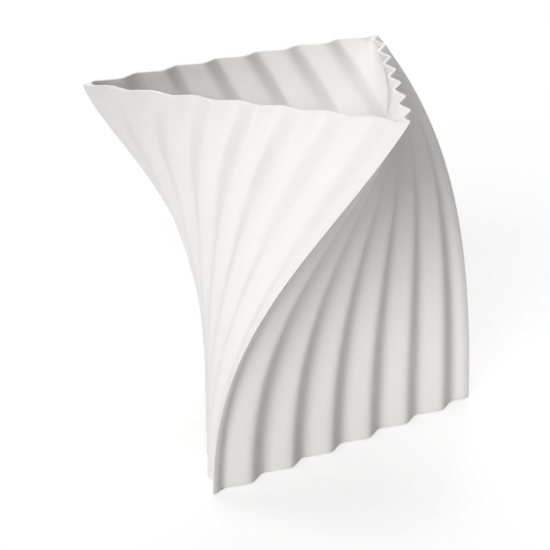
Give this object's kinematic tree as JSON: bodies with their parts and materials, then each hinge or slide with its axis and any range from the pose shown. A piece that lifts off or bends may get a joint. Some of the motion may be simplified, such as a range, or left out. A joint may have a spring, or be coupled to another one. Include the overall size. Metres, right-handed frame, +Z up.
{
  "type": "vertical axis wind turbine",
  "caption": "Small vertical axis wind turbine whose rotor is a thin triangular tube with pleated, twisted walls, open at the top, turning on a fixed mast inside it.",
  "frame": {"origin": "on the rotor's axis, at the underside of the foot mat, which is the surface it stands on", "axes": "+Z up along the rotor's axis. +Y away from the viewer in the usual front view, +X to the right in it"},
  "size_m": [0.2617, 0.2592, 0.24],
  "materials": {
    "shell_white": "matt white moulded plastic",
    "cap_plastic": "matt white plastic",
    "rubber": "black rubber",
    "base_paint": "fine textured black paint on steel",
    "black_plastic": "matt black nylon",
    "steel": "turned and ground steel",
    "zinc": "zinc plated steel",
    "core_steel": "dark electrical steel",
    "copper": "enamelled copper wire",
    "magnet": "nickel plated magnet",
    "aluminium": "turned and milled aluminium"
  },
  "bodies": {
    "base": {"foot_mat": "rubber", "base_plate": "base_paint", "cable_gland": "black_plastic", "output_lead": "rubber", "mast": "steel", "mast_washer": "zinc", "mast_nut": "zinc", "stator_core": "core_steel", "stator_clip": "steel", "coil_1": "copper", "coil_2": "copper", "coil_3": "copper", "coil_4": "copper", "coil_5": "copper", "coil_6": "copper", "coil_7": "copper", "coil_8": "copper", "coil_9": "copper", "lower_bearing_inner_ring": "steel", "upper_bearing_inner_ring": "steel", "bearing_spacer": "aluminium", "top_washer": "zinc", "top_nut": "zinc"},
    "rotor": {"bell_screw_1": "zinc", "bell_screw_2": "zinc", "bell_screw_3": "zinc", "hub_cap": "cap_plastic", "hub_screw_1": "zinc", "hub_screw_2": "zinc", "hub_screw_3": "zinc", "hub_tube": "aluminium", "lower_arm_screw_1": "zinc", "lower_arm_screw_2": "zinc", "lower_arm_screw_3": "zinc", "lower_bearing_outer_ring": "steel", "lower_spider": "aluminium", "magnet_1": "magnet", "magnet_10": "magnet", "magnet_11": "magnet", "magnet_12": "magnet", "magnet_2": "magnet", "magnet_3": "magnet", "magnet_4": "magnet", "magnet_5": "magnet", "magnet_6": "magnet", "magnet_7": "magnet", "magnet_8": "magnet", "magnet_9": "magnet", "rotor_bell": "core_steel", "rotor_shell": "shell_white", "upper_arm_screw_1": "zinc", "upper_arm_screw_2": "zinc", "upper_arm_screw_3": "zinc", "upper_bearing_outer_ring": "steel", "upper_spider": "aluminium"},
    "lower_ball_set": {"lower_bearing_ball_cage": "steel"},
    "upper_ball_set": {"upper_bearing_ball_cage": "steel"}
  },
  "joints": [
    {"name": "rotor_spin", "type": "hinge", "parent": "base", "child": "rotor", "pos_m": [0, 0, 0], "axis": [0, 0, 1], "continuous": true},
    {"name": "lower_ball_spin", "type": "hinge", "parent": "base", "child": "lower_ball_set", "pos_m": [0, 0, 0.0494], "axis": [0, 0, 1], "continuous": true},
    {"name": "upper_ball_spin", "type": "hinge", "parent": "base", "child": "upper_ball_set", "pos_m": [0, 0, 0.1424], "axis": [0, 0, 1], "continuous": true}
  ],
  "couplings": [
    {"joint": "lower_ball_spin", "follows": "rotor_spin", "ratio": 0.632},
    {"joint": "upper_ball_spin", "follows": "rotor_spin", "ratio": 0.632}
  ]
}
